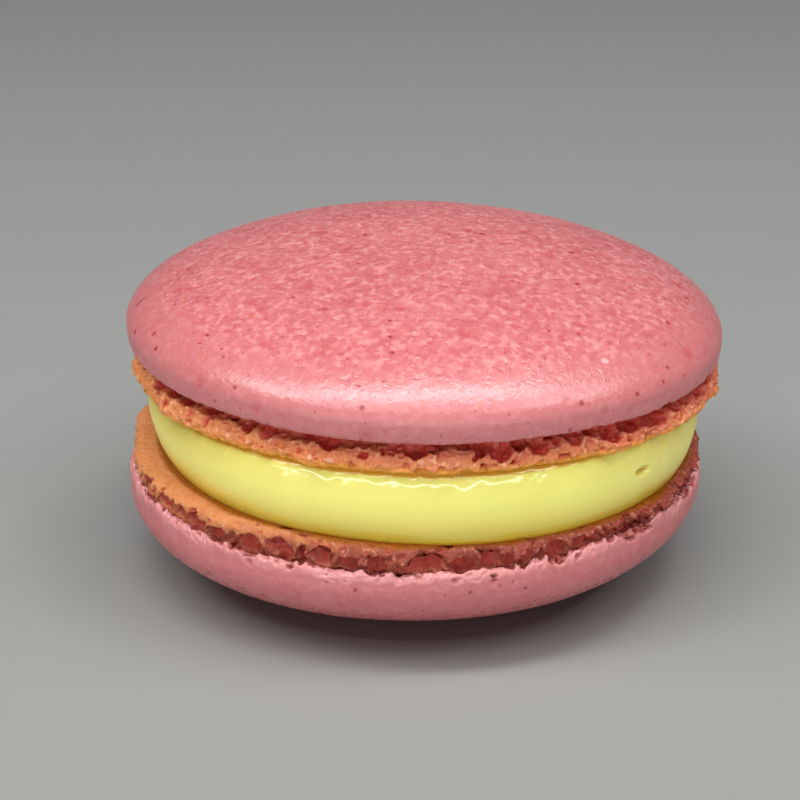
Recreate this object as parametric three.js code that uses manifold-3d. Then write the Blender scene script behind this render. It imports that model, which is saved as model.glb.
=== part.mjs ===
// A French macaron: two baked almond meringue shells, base to base, round a disc of smooth filling.
// Each shell is one baked piece: a smooth domed skin that curls under at its lip, and below the lip
// the ruffled foot, full of open bubbles, which ends in the flat base that lay on the baking sheet.
// Millimetres, +Z up. The origin is on the surface that the macaron stands on, under its middle.
import * as THREE from "three";
import { mergeVertices } from "three/addons/utils/BufferGeometryUtils.js";
import Module from "manifold-3d";

const wasm = await Module();
wasm.setup();

// ---------------------------------------------------------------- driving dimensions

const BASE_HEIGHT = 10.5; // of the lower shell's flat base above the table
const FILLING_THICKNESS = 5.9; // between the two flat bases, at the middle
const SEAT_GAP = 0.3; // left between the filling and each base

// Heights in a shell are above its own flat base, with the dome upwards. A lean turns about +Y, so it
// lowers the +X side. The skin leans against the base, which makes the foot taller on one side.
const UPPER_SHELL = {
  name: "top_shell",
  skinRadius: 24.25, // at its widest ring
  widestHeight: 4.35,
  domeRise: 6.1, // from the widest ring to the crown
  domeEdge: 2.35, // the exponents of the dome's outline: how square its shoulder is
  domeCrown: 1.59,
  footHeight: 2.75, // from the base to the lip, on average
  lipWaves: [], // the skin tore off lower or higher round the lip
  lipRadius: 23.95,
  flangeRadius: 23.9, // of the foot's browned rim
  waistRadius: 22.95, // where the foot is tucked in under the lip
  shiftX: 0,
  baseLean: THREE.MathUtils.degToRad(0.5),
  skinLean: THREE.MathUtils.degToRad(0.6),
  outline: [
    { count: 2, size: 0.1, turn: 1.1 },
    { count: 3, size: 0.08, turn: 0.4 },
    { count: 5, size: 0.05, turn: 2.6 },
  ],
  footOutline: [
    { count: 1, size: 0.22, turn: 0 },
    { count: 2, size: 0.16, turn: 0 },
  ],
  crownSwell: { size: 0.3, toward: THREE.MathUtils.degToRad(60) }, // the dome is fuller on this side
  bubbleSeed: 41,
};
const LOWER_SHELL = {
  name: "bottom_shell",
  skinRadius: 23.95,
  widestHeight: 3.3,
  domeRise: 7.4, // the table flattens the last part of it
  domeEdge: 2.65,
  domeCrown: 1.96,
  footHeight: 1.95,
  lipWaves: [
    { count: 1, size: 0.25, turn: 1.0 },
    { count: 3, size: 0.4, turn: 1.1 },
  ],
  lipRadius: 23.75,
  flangeRadius: 23.6,
  waistRadius: 23.2,
  shiftX: -0.55,
  baseLean: THREE.MathUtils.degToRad(0.9),
  skinLean: THREE.MathUtils.degToRad(1.4),
  outline: [
    { count: 2, size: 0.08, turn: 2.3 },
    { count: 3, size: 0.09, turn: 4.4 },
    { count: 5, size: 0.05, turn: 0.9 },
  ],
  footOutline: [{ count: 2, size: 0.1, turn: 0.2 }],
  crownSwell: { size: 0.2, toward: THREE.MathUtils.degToRad(-150) },
  bubbleSeed: 97,
};
const SWELL_AT = 0.5; // where the crown's swell is largest, as a share of the skin's radius
const SWELL_WIDTH = 0.35;
const LIP_THICKNESS = 0.45;
const LIP_TUCK = 0.9; // how far the lip's underside reaches in before the foot hides it
const FOOT_EDGE = { bevel: 0.75, bevelHeight: 0.28, widestHeight: 0.75, shoulderHeight: 1.3 };
const FOOT_CRUMB = { size: 0.07, around: 47, upward: 11 }; // the fine roughness of its crust
const FOOT_RUFFLES = [
  { count: 7, size: 0.12, turn: 0.8 },
  { count: 12, size: 0.1, turn: 2.9 },
  { count: 19, size: 0.09, turn: 5.1 },
  { count: 31, size: 0.06, turn: 1.7 },
];

const FILLING = {
  // Its side: [radius, height as a share of the thickness] from the lower shell to the upper one.
  side: [
    [21.95, 0],
    [22.5, 0.2],
    [22.9, 0.55],
    [22.9, 0.82],
    [22.1, 1],
  ],
  shiftX: 0.1,
  outline: [
    { count: 1, size: 0.4, turn: Math.PI / 2 }, // it bulges towards the front
    { count: 2, size: 0.16, turn: 3.3 },
    { count: 3, size: 0.1, turn: 1.9 },
    { count: 7, size: 0.04, turn: 3.3 },
  ],
  footprint: [{ count: 2, size: 0.25, turn: Math.PI }], // added where it spreads on the lower shell
  // A small air pocket that broke at the surface, wider than it is tall.
  pocket: {
    radius: 0.85,
    widening: 1.3,
    flattening: 0.55,
    angle: THREE.MathUtils.degToRad(-43.5),
    height: 0.57, // as a share of the filling's thickness
    depth: 0.3,
  },
};

const BUBBLES = 46; // large open bubbles round one foot
const BUBBLE_SCATTER = 0.9; // of their even spacing
const BUBBLE_RADIUS = { least: 0.42, most: 0.98 };
const BUBBLE_WIDENING = { least: 1.05, most: 1.65 }; // along the foot, where neighbours ran together
const BUBBLE_DEEPENING = 1.15;
const BUBBLE_OUT = { least: 0.1, most: 0.55 }; // of its middle, from the waist
const BUBBLE_DROP = { least: 0.55, most: 1.45 }; // of its middle, in radii below the lip
const CRUST_BELOW = 0.3; // the browned crust that is left between a bubble and the base
const JOINT_DEPTH = 0.8; // how far the foot's top runs up into the skin
const DOME_RINGS = 8;
const DOME_CROWDING = 0.8; // under 1, the rings are closer together near the crown
const SKIN_SEGMENTS = 64;
const FOOT_SEGMENTS = 90;
const FILLING_SEGMENTS = 64;

// ---------------------------------------------------------------- small helpers

// A repeatable random draw between 0 and 1.
function randomFrom(seed) {
  let state = seed;
  return () => {
    state = (state + 0x6d2b79f5) | 0;
    let t = Math.imul(state ^ (state >>> 15), 1 | state);
    t = (t + Math.imul(t ^ (t >>> 7), 61 | t)) ^ t;
    return ((t ^ (t >>> 14)) >>> 0) / 4294967296;
  };
}

const lerp = THREE.MathUtils.lerp;

// The sum of a few waves round the axis.
function wavesAt(waves, angle) {
  return waves.reduce((sum, w) => sum + w.size * Math.cos(w.count * angle + w.turn), 0);
}

// A profile of (radius, height) points, from the axis back to the axis, turned round +Z.
function turned(profile, segments) {
  return new THREE.LatheGeometry(profile, segments).rotateX(Math.PI / 2);
}

// Moves each vertex as move(angle, radius, height) says, which gives the new radius and height.
function reshaped(geometry, move) {
  const position = geometry.getAttribute("position");
  for (let i = 0; i < position.count; i++) {
    const x = position.getX(i);
    const y = position.getY(i);
    const radius = Math.hypot(x, y);
    const angle = Math.atan2(y, x);
    const [newRadius, newHeight] = move(angle, radius, position.getZ(i));
    const scale = radius > 1e-6 ? newRadius / radius : 1;
    position.setXYZ(i, x * scale, y * scale, newHeight);
  }
  return geometry;
}

function solidOf(geometry) {
  const bare = geometry.clone();
  bare.deleteAttribute("normal");
  bare.deleteAttribute("uv");
  const merged = mergeVertices(bare, 1e-4);
  const corners = merged.index.array;
  const kept = [];
  for (let i = 0; i < corners.length; i += 3) {
    const [a, b, c] = corners.subarray(i, i + 3);
    if (a !== b && b !== c && c !== a) kept.push(a, b, c);
  }
  return new wasm.Manifold(
    new wasm.Mesh({
      numProp: 3,
      vertProperties: new Float32Array(merged.getAttribute("position").array),
      triVerts: new Uint32Array(kept),
    }),
  );
}

function geometryOf(solid) {
  const mesh = solid.getMesh();
  const geometry = new THREE.BufferGeometry();
  geometry.setAttribute("position", new THREE.BufferAttribute(mesh.vertProperties, 3));
  geometry.setIndex(new THREE.BufferAttribute(mesh.triVerts, 1));
  geometry.computeVertexNormals();
  return geometry;
}

// ---------------------------------------------------------------- one baked shell

// The height of the dome's outline above its widest ring, at a radius.
function domeHeight(shell, radius) {
  const share = Math.min(1, radius / shell.skinRadius);
  return shell.domeRise * (1 - share ** shell.domeEdge) ** (1 / shell.domeCrown);
}

// The skin's profile: from the middle of its underside out to the lip, round it, and over the dome.
function skinProfile(shell) {
  const underside = shell.footHeight + LIP_THICKNESS;
  const profile = [
    new THREE.Vector2(0, underside),
    new THREE.Vector2(shell.lipRadius - LIP_TUCK, underside),
  ];
  const lip = new THREE.SplineCurve([
    new THREE.Vector2(shell.lipRadius - LIP_THICKNESS, shell.footHeight),
    new THREE.Vector2(shell.lipRadius - LIP_THICKNESS / 4, shell.footHeight),
    new THREE.Vector2(shell.lipRadius + LIP_THICKNESS / 4, underside),
    new THREE.Vector2(shell.skinRadius, shell.widestHeight),
  ]);
  profile.push(...lip.getPoints(4));
  for (let i = 1; i < DOME_RINGS; i++) {
    const radius = shell.skinRadius * Math.cos(((i / DOME_RINGS) ** DOME_CROWDING * Math.PI) / 2);
    profile.push(new THREE.Vector2(radius, shell.widestHeight + domeHeight(shell, radius)));
  }
  profile.push(new THREE.Vector2(0, shell.widestHeight + shell.domeRise));
  return profile;
}

function skin(shell) {
  const { size, toward } = shell.crownSwell;
  const underside = shell.footHeight + LIP_THICKNESS;
  return solidOf(
    reshaped(turned(skinProfile(shell), SKIN_SEGMENTS), (angle, radius, height) => {
      const share = radius / shell.skinRadius;
      const above = Math.max(0, height - shell.widestHeight) / shell.domeRise;
      const ring = Math.exp(-(((share - SWELL_AT) / SWELL_WIDTH) ** 2));
      const swell = size * above * ring * Math.cos(angle - toward);
      const leaning = -Math.tan(shell.skinLean) * radius * Math.cos(angle);
      const nearLip = 1 - THREE.MathUtils.smoothstep(height, underside, shell.widestHeight);
      const torn = nearLip * wavesAt(shell.lipWaves, angle);
      return [radius + share * wavesAt(shell.outline, angle), height + swell + leaning + torn];
    }),
  );
}

// The foot's height at a place as a share of its average height: it ends where the leaning skin starts.
function footStretch(shell, angle, radius) {
  const leaning = -Math.tan(shell.skinLean) * radius * Math.cos(angle);
  const torn = (radius / shell.lipRadius) ** 2 * wavesAt(shell.lipWaves, angle);
  return 1 + (leaning + torn) / shell.footHeight;
}

// The foot's profile: from the middle of the flat base, round the browned rim, in at the waist and up.
function footProfile(shell) {
  const side = new THREE.SplineCurve([
    new THREE.Vector2(shell.flangeRadius - FOOT_EDGE.bevel, 0),
    new THREE.Vector2(shell.flangeRadius - FOOT_EDGE.bevel / 5, FOOT_EDGE.bevelHeight),
    new THREE.Vector2(shell.flangeRadius, FOOT_EDGE.widestHeight),
    new THREE.Vector2(lerp(shell.flangeRadius, shell.waistRadius, 0.3), FOOT_EDGE.shoulderHeight),
    new THREE.Vector2(shell.waistRadius, shell.footHeight - LIP_THICKNESS),
    new THREE.Vector2(shell.waistRadius - LIP_THICKNESS / 2, shell.footHeight + JOINT_DEPTH),
  ]);
  const top = shell.footHeight + JOINT_DEPTH;
  return [new THREE.Vector2(0, 0), ...side.getPoints(6), new THREE.Vector2(0, top)];
}

// Where the foot's side is, against the round profile.
function footOutward(shell, angle) {
  return wavesAt(shell.outline, angle) + wavesAt(shell.footOutline, angle);
}

function foot(shell) {
  return solidOf(
    reshaped(turned(footProfile(shell), FOOT_SEGMENTS), (angle, radius, height) => {
      const side = THREE.MathUtils.smoothstep(radius, shell.waistRadius - LIP_TUCK, shell.waistRadius);
      const open = height < shell.footHeight ? 1 : 0;
      const crumb = FOOT_CRUMB.size * Math.cos(FOOT_CRUMB.around * angle + FOOT_CRUMB.upward * height);
      const ruffle = wavesAt(FOOT_RUFFLES, angle + shell.bubbleSeed);
      const stretch = footStretch(shell, angle, radius);
      return [radius + side * (footOutward(shell, angle) + open * (ruffle + crumb)), height * stretch];
    }),
  );
}

// The open bubbles round the foot: each is a flattened ball, cut from the foot just under the lip.
function bubbles(shell) {
  const draw = randomFrom(shell.bubbleSeed);
  const between = ({ least, most }) => lerp(least, most, draw());
  return Array.from({ length: BUBBLES }, (_, i) => {
    const angle = ((i + BUBBLE_SCATTER * (draw() - 0.5)) / BUBBLES) * 2 * Math.PI;
    const radius = between(BUBBLE_RADIUS);
    const widening = between(BUBBLE_WIDENING);
    const lip = shell.footHeight * footStretch(shell, angle, shell.waistRadius);
    const height = Math.max(lip - radius * between(BUBBLE_DROP), CRUST_BELOW + radius);
    const out = shell.waistRadius + footOutward(shell, angle) + between(BUBBLE_OUT);
    return { angle, radius, widening, height, out };
  });
}

function bubbleSolid({ angle, radius, widening, height, out }) {
  const ball = new THREE.SphereGeometry(radius, 6, 4);
  ball.scale(BUBBLE_DEEPENING, widening, 1).rotateZ(angle);
  ball.translate(out * Math.cos(angle), out * Math.sin(angle), height);
  return solidOf(ball);
}

function shellSolid(shell) {
  const open = bubbles(shell).reduce((left, bubble) => left.subtract(bubbleSolid(bubble)), foot(shell));
  return skin(shell).add(open);
}

// ---------------------------------------------------------------- the filling

// The heights of the two shells' flat bases over a point, with each shell's lean.
function basesAt(x) {
  const low = BASE_HEIGHT - (x - LOWER_SHELL.shiftX) * Math.tan(LOWER_SHELL.baseLean);
  const high = BASE_HEIGHT + FILLING_THICKNESS - (x - UPPER_SHELL.shiftX) * Math.tan(UPPER_SHELL.baseLean);
  return [low + SEAT_GAP, high - SEAT_GAP];
}

// Its side swells from the lower contact ring to the upper one. Heights run from 0 to 1.
function fillingProfile() {
  const side = new THREE.SplineCurve(FILLING.side.map(([radius, height]) => new THREE.Vector2(radius, height)));
  return [new THREE.Vector2(0, 0), ...side.getPoints(8), new THREE.Vector2(0, 1)];
}

function fillingSolid() {
  const widest = Math.max(...FILLING.side.map(([radius]) => radius));
  const disc = reshaped(turned(fillingProfile(), FILLING_SEGMENTS), (angle, radius, height) => {
    const share = radius / widest;
    const spread = wavesAt(FILLING.outline, angle) + (1 - height) * wavesAt(FILLING.footprint, angle);
    return [radius + share * spread, height];
  }).translate(FILLING.shiftX, 0, 0);
  const position = disc.getAttribute("position");
  for (let i = 0; i < position.count; i++) {
    const [low, high] = basesAt(position.getX(i));
    position.setZ(i, lerp(low, high, position.getZ(i)));
  }
  const { radius, widening, flattening, angle, height, depth } = FILLING.pocket;
  const out = widest + wavesAt(FILLING.outline, angle) + radius - depth;
  const [low, high] = basesAt(out * Math.cos(angle));
  const ball = new THREE.SphereGeometry(radius, 10, 7).scale(1, widening, flattening).rotateZ(angle);
  ball.translate(out * Math.cos(angle), out * Math.sin(angle), lerp(low, high, height));
  return solidOf(disc).subtract(solidOf(ball));
}

// ---------------------------------------------------------------- the macaron

const shellFinish = new THREE.MeshStandardMaterial({ color: 0xe08a8e, roughness: 0.62, metalness: 0 });
const fillingFinish = new THREE.MeshStandardMaterial({ color: 0xf3e97e, roughness: 0.3, metalness: 0 });

function upperShell() {
  const mesh = new THREE.Mesh(geometryOf(shellSolid(UPPER_SHELL)), shellFinish);
  mesh.position.set(UPPER_SHELL.shiftX, 0, BASE_HEIGHT + FILLING_THICKNESS);
  mesh.rotation.y = UPPER_SHELL.baseLean;
  return mesh;
}

// The lower shell lies dome down. The table has flattened a small spot under it.
function lowerShell() {
  const upsideDown = geometryOf(shellSolid(LOWER_SHELL)).rotateX(Math.PI).rotateY(LOWER_SHELL.baseLean);
  upsideDown.translate(LOWER_SHELL.shiftX, 0, BASE_HEIGHT);
  const table = new THREE.BoxGeometry(60, 60, 10).translate(0, 0, -5);
  return new THREE.Mesh(geometryOf(solidOf(upsideDown).subtract(solidOf(table))), shellFinish.clone());
}

function filling() {
  return new THREE.Mesh(geometryOf(fillingSolid()), fillingFinish);
}

const macaron = new THREE.Group();
for (const [name, build] of [
  [UPPER_SHELL.name, upperShell],
  ["filling", filling],
  [LOWER_SHELL.name, lowerShell],
]) {
  const mesh = build();
  mesh.name = name;
  macaron.add(mesh);
}

// The origin is under the middle of the whole.
const middle = new THREE.Box3().setFromObject(macaron, true).getCenter(new THREE.Vector3());
macaron.position.set(-middle.x, -middle.y, 0);

const part = new THREE.Group();
part.add(macaron);

export default part;
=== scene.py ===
"""A French macaron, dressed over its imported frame: two baked shells, base to base, round a smooth filling.

Lengths are in millimetres. A shell is made in its own frame, with its flat base at height 0 and its dome
upwards, and is then put in its place in the row's frame. Meshes are in metres.
"""
import logging
import math
from collections.abc import Callable
from dataclasses import dataclass
from enum import Enum
from itertools import product

import bpy
import numpy as np
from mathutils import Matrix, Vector


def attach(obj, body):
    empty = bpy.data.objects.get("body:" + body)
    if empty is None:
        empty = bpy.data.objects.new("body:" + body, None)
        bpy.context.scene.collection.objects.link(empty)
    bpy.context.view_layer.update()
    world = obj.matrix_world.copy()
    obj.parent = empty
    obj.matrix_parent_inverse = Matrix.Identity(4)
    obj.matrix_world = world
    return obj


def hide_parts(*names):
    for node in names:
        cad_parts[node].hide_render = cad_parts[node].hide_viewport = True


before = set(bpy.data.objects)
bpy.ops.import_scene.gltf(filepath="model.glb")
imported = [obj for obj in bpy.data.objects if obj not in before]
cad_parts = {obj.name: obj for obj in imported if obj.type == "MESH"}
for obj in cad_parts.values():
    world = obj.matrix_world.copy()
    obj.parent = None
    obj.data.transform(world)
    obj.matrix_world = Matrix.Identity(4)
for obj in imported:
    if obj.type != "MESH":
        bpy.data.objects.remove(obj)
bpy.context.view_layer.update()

MM = 0.001
BODY = "root"
WORD = 0xFFFFFFFF  # the largest 32-bit number
STRIDE = 0x6D2B79F5  # what each draw adds to its state
SLOPES = 256  # how many random slopes a noise has
FULL_TURN = 2 * math.pi
UP = np.array([0, 0, 1])
HIDDEN = 2.0  # how far apart the points of rings that never show may be

Colour = tuple[float, ...]

log = logging.getLogger("macaron")


# ---------------------------------------------------------------- numbers along and round a surface


class Draw:
    """Repeatable random draws between 0 and 1."""

    def __init__(self, seed: int) -> None:
        """Starts the row of draws that a seed stands for."""
        self.state = seed

    def __call__(self) -> float:
        """Draws once.

        Returns:
            The next draw.
        """
        self.state = (self.state + STRIDE) & WORD
        mixed = ((self.state ^ (self.state >> 15)) * (1 | self.state)) & WORD
        mixed = ((mixed + (((mixed ^ (mixed >> 7)) * (61 | mixed)) & WORD)) & WORD) ^ mixed
        return (mixed ^ (mixed >> 14)) / (WORD + 1)

    def between(self, least: float, most: float) -> float:
        """Returns a draw from least to most."""
        return least + (most - least) * self()


class Noise:
    """Smooth random relief in space, from about -1 to 1, that has no seam round the axis."""

    def __init__(self, seed: int) -> None:
        """Draws the random slopes.

        Args:
            seed: which noise it is.
        """
        rng = np.random.default_rng(seed)
        self.order = np.concatenate([rng.permutation(SLOPES)] * 3)
        slopes = rng.normal(size=(SLOPES, 3))
        self.slopes = slopes / np.linalg.norm(slopes, axis=1, keepdims=True)

    def at(self, points: np.ndarray, size: float) -> np.ndarray:
        """Gives the noise at points.

        Args:
            points: the places, one row each, in millimetres.
            size: how far apart its hills are, in millimetres.

        Returns:
            One value for each point.
        """
        spread = 1.7
        cell = np.floor(points / size).astype(int)
        inside = points / size - cell
        ease = inside**3 * (inside * (inside * 6 - 15) + 10)
        total = np.zeros(len(points))
        for corner in product((0, 1), repeat=3):
            x, y, z = ((cell + corner) % SLOPES).T
            slope = self.slopes[self.order[self.order[self.order[x] + y] + z]]
            share = np.prod(np.where(corner, ease, 1 - ease), axis=1)
            total += share * np.einsum("ij,ij->i", inside - corner, slope)
        return spread * total

    def vector(self, points: np.ndarray, size: float) -> np.ndarray:
        """Gives three independent noises at points, as the columns of an array."""
        apart = 57.3
        return np.stack([self.at(points + apart * axis, size) for axis in range(3)], axis=1)


@dataclass(frozen=True)
class Wave:
    """One wave round the axis: its number of crests, its height, and how far it is turned."""

    count: int
    size: float
    turn: float


def wave_sum(waves: tuple[Wave, ...], angle: np.ndarray) -> np.ndarray | float:
    """Adds up waves round the axis, at angles in radians."""
    return sum(wave.size * np.cos(wave.count * angle + wave.turn) for wave in waves)


def smooth(value: np.ndarray, low: float, high: float) -> np.ndarray:
    """Rises smoothly from 0 at low to 1 at high, or falls if low is the larger."""
    share = np.clip((value - low) / (high - low), 0, 1)
    return share * share * (3 - 2 * share)


def lerp(low: float, high: float, share: float) -> float:
    """Goes from low to high as share goes from 0 to 1."""
    return low + (high - low) * share


def lengths(points: np.ndarray) -> np.ndarray:
    """Measures how far along a line each of its points is."""
    return np.concatenate([[0], np.cumsum(np.linalg.norm(np.diff(points, axis=0), axis=1))])


def evenly(points: np.ndarray, step: float) -> np.ndarray:
    """Spaces a line's points evenly.

    Args:
        points: the line, one row for each point.
        step: the distance between the points that come back.

    Returns:
        The same line with other points.
    """
    along = lengths(points)
    even = np.linspace(0, along[-1], max(2, round(along[-1] / step)) + 1)
    return np.stack([np.interp(even, along, column) for column in points.T], axis=1)


def rounded(profile: np.ndarray, step: float, reach: float, crisp: float, easing: float) -> np.ndarray:
    """Rounds the corners of a profile that ends on the axis, and keeps its start crisp.

    Args:
        profile: (radius, height) rows, evenly spaced.
        step: the distance between them.
        reach: how far along the profile the rounding reaches.
        crisp: the length at its start that stays as it is.
        easing: the length over which the rounding sets in.

    Returns:
        The rounded profile.
    """
    half = math.ceil(3 * reach / step)
    weights = np.exp(-0.5 * (np.arange(-half, half + 1) * step / reach) ** 2)
    weights /= weights.sum()
    mirrored = profile[-2 : -half - 2 : -1] * [-1, 1]
    padded = np.concatenate([np.repeat(profile[:1], half, axis=0), profile, mirrored])
    blurred = np.stack([np.convolve(column, weights, "valid") for column in padded.T], axis=1)
    share = smooth(np.arange(len(profile)) * step, crisp, crisp + easing)[:, None]
    return profile + share * (blurred - profile)


def curve_through(points: list[tuple[float, float]], step: float) -> np.ndarray:
    """Runs a smooth curve through points and spaces it evenly.

    Args:
        points: the places that it passes through.
        step: the distance between the points that come back.

    Returns:
        The curve's points, one row each.
    """
    per_stretch = 24
    padded = np.array([points[0], *points, points[-1]])
    t = np.linspace(0, 1, per_stretch, endpoint=False)[:, None]
    fine = []
    for a, b, c, d in zip(padded, padded[1:], padded[2:], padded[3:]):
        straight = 2 * b + (c - a) * t
        fine.append(straight + (2 * a - 5 * b + 4 * c - d) * t**2 + (3 * b - a - 3 * c + d) * t**3)
    return evenly(np.concatenate([0.5 * np.concatenate(fine), padded[-1:]]), step)


def flat_rows(start: float, end: float, height: float, count: int) -> np.ndarray:
    """Lays out a profile's rows at one height, evenly from one radius to another."""
    return np.stack([np.linspace(start, end, count), np.full(count, height)], axis=1)


def joined(*stretches: tuple[np.ndarray, float | np.ndarray]) -> tuple[np.ndarray, np.ndarray]:
    """Joins a profile's stretches, each given with how far apart its rings' points may be."""
    spacing = [np.full(len(rows), apart) for rows, apart in stretches]
    return np.concatenate([rows for rows, _ in stretches]), np.concatenate(spacing)


# ---------------------------------------------------------------- surfaces turned round the axis


def ring_counts(profile: np.ndarray, spacing: np.ndarray, most: int) -> np.ndarray:
    """Works out how many points each ring of a profile needs, so that none are further apart than asked.

    Args:
        profile: (radius, height) rows that start and end on the axis.
        spacing: how far apart the points of each ring may be.
        most: how many points the fullest ring has.

    Returns:
        The number of points of each ring: most, or a half, a quarter and so on of it.
    """
    least, leeway = 30, 0.2
    around = FULL_TURN * np.maximum(profile[:, 0], 0.1)
    halves = np.floor(np.log2(np.maximum(spacing * most / around, 1)) + leeway)
    halves = np.clip(halves, 0, math.floor(math.log2(most / least))).astype(int)
    for ring in range(1, len(halves)):
        halves[ring] = min(halves[ring], halves[ring - 1] + 1)
    for ring in range(len(halves) - 2, -1, -1):
        halves[ring] = min(halves[ring], halves[ring + 1] + 1)
    columns = most // 2**halves
    columns[[0, -1]] = 1
    return columns


class Turned:
    """A closed surface turned round the axis, as rings of points along a profile, from pole to pole."""

    def __init__(self, profile: np.ndarray, spacing: np.ndarray, most: int) -> None:
        """Lays out the rings.

        Args:
            profile: (radius, height) rows, from the axis below, outwards, up, and back to the axis.
            spacing: how far apart the points of each ring may be.
            most: how many points the fullest ring has.
        """
        tangent = np.gradient(profile, axis=0)
        tangent /= np.linalg.norm(tangent, axis=1, keepdims=True)
        columns = ring_counts(profile, spacing, most)
        self.columns = columns
        self.angle = np.concatenate([FULL_TURN * np.arange(n) / n for n in columns])
        self.radius = np.repeat(profile[:, 0], columns)
        self.height = np.repeat(profile[:, 1], columns)
        self.along = np.repeat(lengths(profile), columns)
        self.lean_out = np.repeat(tangent[:, 1], columns)
        self.lean_up = np.repeat(-tangent[:, 0], columns)

    @property
    def round(self) -> np.ndarray:
        """The directions straight out from the axis, one row for each point."""
        return np.stack([np.cos(self.angle), np.sin(self.angle), np.zeros_like(self.angle)], axis=1)

    @property
    def normals(self) -> np.ndarray:
        """The profile's outward directions, one row for each point."""
        return self.lean_out[:, None] * self.round + self.lean_up[:, None] * UP

    @property
    def points(self) -> np.ndarray:
        """The undisturbed surface, one row for each point."""
        return self.radius[:, None] * self.round + self.height[:, None] * UP

    def faces(self) -> list[tuple[int, ...]]:
        """Joins each ring to the next.

        Returns:
            The faces, as tuples of point numbers, facing outwards.
        """
        rings = []
        first = 0
        for count in self.columns.tolist():
            rings.append([first + j % count for j in range(count + 1)])
            first += count
        return [face for one, other in zip(rings, rings[1:]) for face in self._band(one, other)]

    @staticmethod
    def _band(one: list[int], other: list[int]) -> list[tuple[int, ...]]:
        """Joins two rings.

        Args:
            one: the first ring's point numbers, with its first one again at the end.
            other: the second ring's, in the same way.

        Returns:
            The faces between them.
        """
        if len(one) == 2:
            return [(one[0], end, start) for start, end in zip(other, other[1:])]
        if len(other) == 2:
            return [(start, end, other[0]) for start, end in zip(one, one[1:])]
        if len(one) == len(other):
            return [(a, b, d, c) for a, b, c, d in zip(one, one[1:], other, other[1:])]
        made = []
        if len(one) > len(other):
            for left, middle, right, a, b in zip(one[::2], one[1::2], one[2::2], other, other[1:]):
                made += [(left, middle, a), (middle, b, a), (middle, right, b)]
        else:
            for left, middle, right, a, b in zip(other[::2], other[1::2], other[2::2], one, one[1:]):
                made += [(a, middle, left), (a, b, middle), (b, right, middle)]
        return made


@dataclass(frozen=True)
class Bubble:
    """One open bubble: an egg-shaped hollow at an angle round the axis, in a shell's own frame."""

    angle: float
    out: float
    height: float
    radii: tuple[float, float, float]  # outwards, along the foot, and upwards
    tilt: float = 0.0  # turns it about the outward direction, in radians

    @classmethod
    def around(cls, centre: np.ndarray, radii: tuple[float, float, float]) -> "Bubble":
        """Makes a bubble round a point."""
        x, y, z = centre
        return cls(math.atan2(y, x), math.hypot(x, y), float(z), radii)

    @property
    def centre(self) -> np.ndarray:
        """Where its middle is."""
        return np.array([self.out * math.cos(self.angle), self.out * math.sin(self.angle), self.height])

    @property
    def reach(self) -> float:
        """How far from its middle it can touch a surface."""
        return 2.2 * max(self.radii)

    @property
    def axes(self) -> np.ndarray:
        """Its own directions.

        Returns:
            The three of them, one row each, every one divided by its radius.
        """
        cos, sin = math.cos(self.angle), math.sin(self.angle)
        along = np.array([-sin, cos, 0])
        across = math.cos(self.tilt) * along + math.sin(self.tilt) * UP
        rise = math.cos(self.tilt) * UP - math.sin(self.tilt) * along
        return np.array([[cos, sin, 0], across, rise]) / np.array(self.radii)[:, None]

    def carve(self, points: np.ndarray, inward: np.ndarray, depth: np.ndarray) -> None:
        """Pushes points that lie inside the bubble on to its far wall.

        Args:
            points: the surface's points.
            inward: the direction that each point moves in.
            depth: how far each point has been moved so far, which this changes.
        """
        near = np.flatnonzero(np.abs(points - self.centre).max(1) < self.reach)
        if not len(near):
            return
        start = (points[near] - self.centre) @ self.axes.T
        way = inward[near] @ self.axes.T
        a = (way**2).sum(1)
        b = (start * way).sum(1)
        root = b**2 - a * ((start**2).sum(1) - 1)
        hit = root > 0
        half = np.sqrt(np.where(hit, root, 0))
        enter, leave = (-b - half) / a, (-b + half) / a
        now = depth[near]
        open_here = hit & (enter <= now) & (leave > now)
        depth[near[open_here]] = leave[open_here]


@dataclass(frozen=True)
class Pits:
    """Small open pits: how many, the smallest and the largest radius, and how rare large ones are."""

    count: int
    least: float
    most: float
    rarity: float = 2.0
    lift: float = 0.0  # how far their middles lie above the surface, on average, as a share of the radius


@dataclass(frozen=True)
class Mark:
    """A spot of another colour on a skin, at a place in the shell's own frame."""

    angle: float  # degrees
    radius: float
    height: float
    size: tuple[float, float]  # half its length outwards from the crown, and half its width
    tint: Colour
    strength: float = 0.8


def make_piece(
    name: str,
    surface: Turned,
    points: np.ndarray,
    painted: dict[str, np.ndarray],
    finish: bpy.types.Material,
) -> bpy.types.Object:
    """Makes a smooth mesh object, which stores numbers at its points for its finish to read.

    Args:
        name: the piece's name.
        surface: the turned surface that it comes from.
        points: where the surface's points have gone in the row's frame, in millimetres.
        painted: the numbers by name, with one value or one row of three for each point.
        finish: its material.

    Returns:
        The new object, at the origin.
    """
    mesh = bpy.data.meshes.new(name)
    mesh.from_pydata((points * MM).tolist(), [], surface.faces())
    mesh.shade_smooth()
    mesh.materials.append(finish)
    for key, values in painted.items():
        kind, field = ("FLOAT", "value") if values.ndim == 1 else ("FLOAT_VECTOR", "vector")
        layer = mesh.attributes.new(key, kind, "POINT")
        layer.data.foreach_set(field, values.astype(np.float32).ravel())
    piece = bpy.data.objects.new(name, mesh)
    bpy.context.collection.objects.link(piece)
    return piece


# ---------------------------------------------------------------- finishes


def srgb(*levels: int) -> Colour:
    """Turns red, green and blue, from 0 to 255, into the linear colour that shaders take."""
    shares = [level / 255 for level in levels]
    return (*[c / 12.92 if c <= 0.04045 else ((c + 0.055) / 1.055) ** 2.4 for c in shares], 1.0)


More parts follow.
